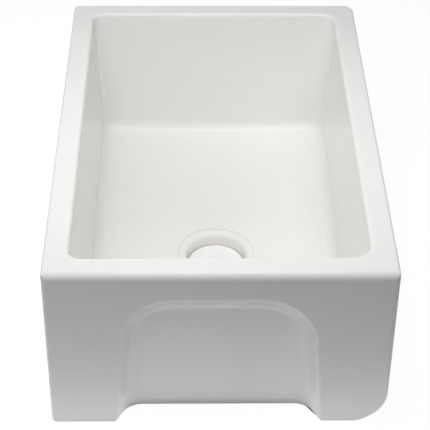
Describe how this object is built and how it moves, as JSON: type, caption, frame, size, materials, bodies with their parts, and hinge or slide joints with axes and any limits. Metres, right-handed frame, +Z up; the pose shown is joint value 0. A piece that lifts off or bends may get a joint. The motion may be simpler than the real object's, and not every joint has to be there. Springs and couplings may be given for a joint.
{
  "type": "apron front kitchen sink",
  "caption": "Deep rectangular fireclay sink with an arched recess in its apron front, a dished floor and a lift-out basket-strainer waste under the drain.",
  "frame": {"origin": "middle of the base plane that the foot ring stands on", "axes": "+Y from the apron to the back, +X to the right as seen from the front, +Z up to the rim"},
  "size_m": [0.4572, 0.698, 0.4146],
  "materials": {
    "fireclay": "gloss",
    "white_enamel": "gloss",
    "tan_silicone": "satin",
    "grey_rubber": "matte",
    "fibre_board": "matte",
    "cast_nut": "satin",
    "white_plastic": "satin",
    "chromed_brass": "polished",
    "stainless": "satin"
  },
  "bodies": {
    "sink": {"sink_body": "fireclay", "flange_seal": "tan_silicone", "strainer_body": "white_enamel", "underside_gasket": "grey_rubber", "friction_ring": "fibre_board", "lock_nut": "cast_nut", "tailpiece_washer": "white_plastic", "coupling_nut": "chromed_brass", "tailpiece": "chromed_brass", "spring_clip": "stainless"},
    "plug": {"basket_post": "stainless", "pull_knob": "white_enamel", "stopper_seal": "grey_rubber", "stopper_nut": "stainless"},
    "basket": {"basket_bowl": "stainless", "basket_cap": "white_enamel", "cap_ring": "tan_silicone"}
  },
  "joints": [
    {"name": "basket_lift", "type": "slide", "parent": "sink", "child": "plug", "axis": [0, 0, 1], "range_m": [0, 0.31]},
    {"name": "basket_turn", "type": "hinge", "parent": "plug", "child": "basket", "pos_m": [0, -0.0205, 0], "axis": [0, 0, 1], "continuous": true}
  ]
}
